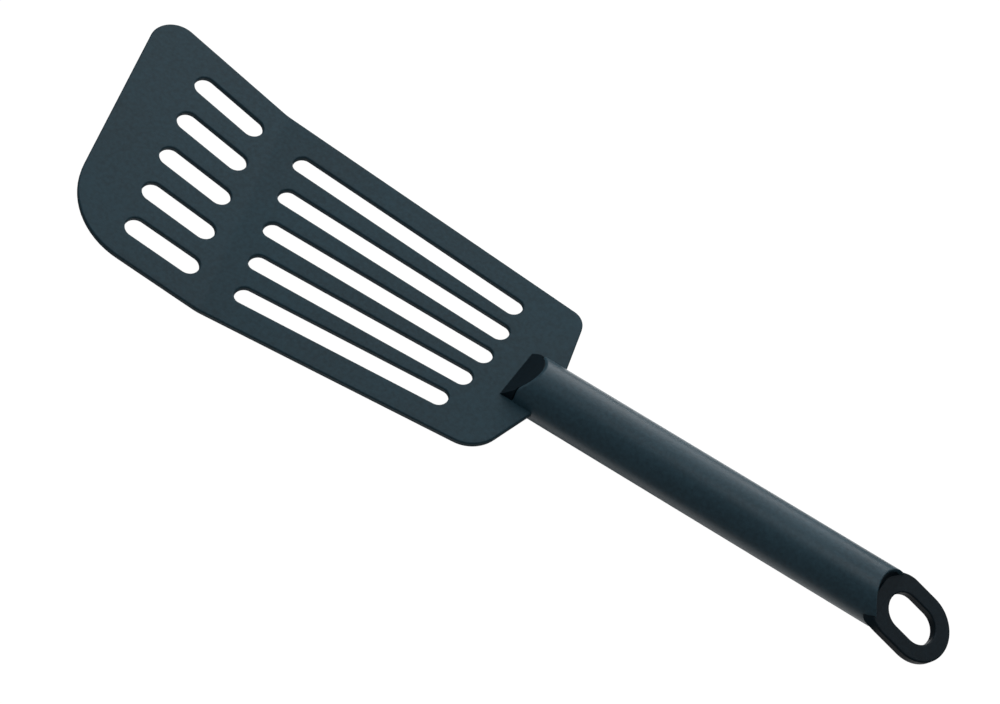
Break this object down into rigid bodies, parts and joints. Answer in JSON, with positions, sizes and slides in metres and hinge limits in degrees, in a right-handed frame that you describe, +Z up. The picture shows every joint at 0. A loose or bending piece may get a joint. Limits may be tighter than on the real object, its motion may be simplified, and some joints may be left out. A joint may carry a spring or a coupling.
{
  "type": "grill spatula",
  "caption": "Slotted nylon turner with a bent, slant-edged blade, a round sleeve handle and a black end piece with an oblong hanging hole.",
  "frame": {"origin": "bottom centre of the bounding box: the lowest edge of the hanging eye lies in the plane z = 0, and the sleeve's underside is 0.7 mm above it", "axes": "+X along the handle from the blade to the hanging eye, +Y to the blade's longer side, +Z up, on the side that the front of the blade is bent to"},
  "size_m": [0.3462, 0.094, 0.0215],
  "materials": {
    "slate_nylon": "slate blue-grey glass-filled nylon, matte with a fine mould grain",
    "slate_sleeve": "slate blue-grey plastic, satin",
    "black_nylon": "black nylon, satin",
    "pin_steel": "ground dowel pin"
  },
  "bodies": {
    "root": {"blade": "slate_nylon", "handle_sleeve": "slate_sleeve", "front_plug": "black_nylon", "tang_pin_front": "pin_steel", "tang_pin_rear": "pin_steel", "hanging_eye": "black_nylon"}
  },
  "joints": []
}
